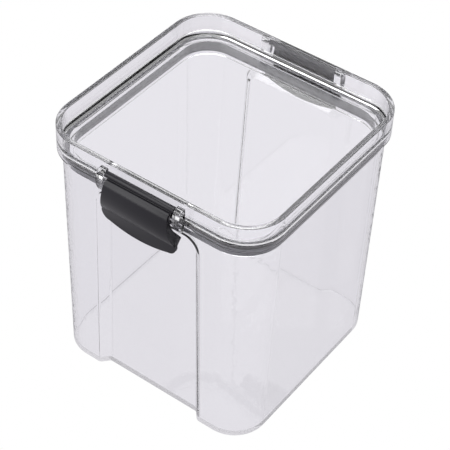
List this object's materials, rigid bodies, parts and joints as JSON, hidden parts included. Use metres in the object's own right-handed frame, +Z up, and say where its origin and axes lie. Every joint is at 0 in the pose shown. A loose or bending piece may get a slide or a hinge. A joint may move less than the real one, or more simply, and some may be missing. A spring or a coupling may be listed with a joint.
{
  "type": "lidded canister",
  "caption": "Square clear food canister with a seal-lined plug lid held down by swing latches on opposite sides.",
  "frame": {"origin": "centre of the underside of the base, where it rests", "axes": "+Z up; -Y is the front latch side and +Y the back latch side; X runs along the latch hinge pins"},
  "size_m": [0.145, 0.161, 0.1673],
  "materials": {
    "clear_plastic": "clear polished",
    "seal_silicone": "satin translucent silicone",
    "latch_plastic": "fine satin"
  },
  "bodies": {
    "canister": {"canister_body": "clear_plastic"},
    "lid": {"lid": "clear_plastic", "lid_seal": "seal_silicone"},
    "front_latch": {"front_latch": "latch_plastic"},
    "back_latch": {"back_latch": "latch_plastic"}
  },
  "joints": [
    {"name": "lid_lift", "type": "slide", "parent": "canister", "child": "lid", "axis": [0, 0, 1], "range_m": [0, 0.025]},
    {"name": "front_latch_hinge", "type": "hinge", "parent": "lid", "child": "front_latch", "pos_m": [0, -0.07475, 0.1621], "axis": [-1, 0, 0], "range_deg": [0, 100]},
    {"name": "back_latch_hinge", "type": "hinge", "parent": "lid", "child": "back_latch", "pos_m": [0, 0.07475, 0.1621], "axis": [1, 0, 0], "range_deg": [0, 100]}
  ],
  "couplings": [
    {"joint": "front_latch_hinge", "follows": "lid_lift", "rad_per_m": 69.8},
    {"joint": "back_latch_hinge", "follows": "lid_lift", "rad_per_m": 69.8}
  ]
}
